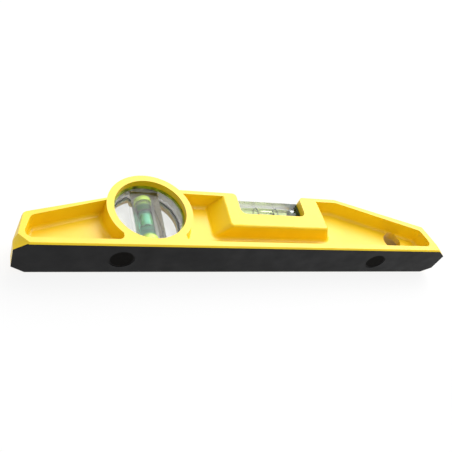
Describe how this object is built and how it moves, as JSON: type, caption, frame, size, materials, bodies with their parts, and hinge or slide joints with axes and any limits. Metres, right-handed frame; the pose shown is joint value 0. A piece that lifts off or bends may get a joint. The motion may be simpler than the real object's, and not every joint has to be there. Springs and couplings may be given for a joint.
{
  "type": "spirit level",
  "caption": "Cast torpedo spirit level with a block vial in a top notch, a round plumb unit in a ring, a hang hole and magnets in its sole.",
  "frame": {"origin": "bottom centre of the bounding box: middle of the length and of the overall height, on the back face the level lies on", "axes": "+X along the level, ring end at -X; the sole faces -Y and the top edge +Y; +Z out of the front face"},
  "size_m": [0.25, 0.0449, 0.0232],
  "materials": {
    "body_paint": "yellow enamel over a die casting, milled sole left dark",
    "magnet_cup": "dark plated steel",
    "magnet": "sintered ferrite, matte",
    "clear_acrylic": "clear, polished",
    "green_plug": "dark green, smooth",
    "cement": "translucent cement",
    "green_liquid": "clear tinted liquid",
    "teal_liquid": "clear tinted liquid",
    "bubble": "clear bubble",
    "gauge_black": "printed black",
    "lime_plastic": "lime green, smooth"
  },
  "bodies": {
    "level": {"body": "body_paint", "magnet_cup_left": "magnet_cup", "magnet_cup_right": "magnet_cup", "magnet_left": "magnet", "magnet_right": "magnet", "level_block": "clear_acrylic", "level_plug": "green_plug", "level_bed": "cement", "level_liquid": "green_liquid", "level_mark_left": "gauge_black", "level_mark_right": "gauge_black", "plumb_disc": "clear_acrylic", "plumb_cover": "clear_acrylic", "plumb_bezel_front": "lime_plastic", "plumb_bezel_rear": "lime_plastic", "plumb_tube": "clear_acrylic", "plumb_plug_upper": "lime_plastic", "plumb_plug_lower": "lime_plastic", "plumb_liquid": "teal_liquid", "plumb_mark_upper": "gauge_black", "plumb_mark_lower": "gauge_black"},
    "level_vial_bubble": {"level_bubble": "bubble"},
    "plumb_vial_bubble": {"plumb_bubble": "bubble"}
  },
  "joints": [
    {"name": "level_bubble_slide", "type": "slide", "parent": "level", "child": "level_vial_bubble", "axis": [1, 0, 0], "range_m": [-0.009, 0.009]},
    {"name": "plumb_bubble_slide", "type": "slide", "parent": "level", "child": "plumb_vial_bubble", "axis": [0, 1, 0], "range_m": [-0.0042, 0.0042]}
  ]
}
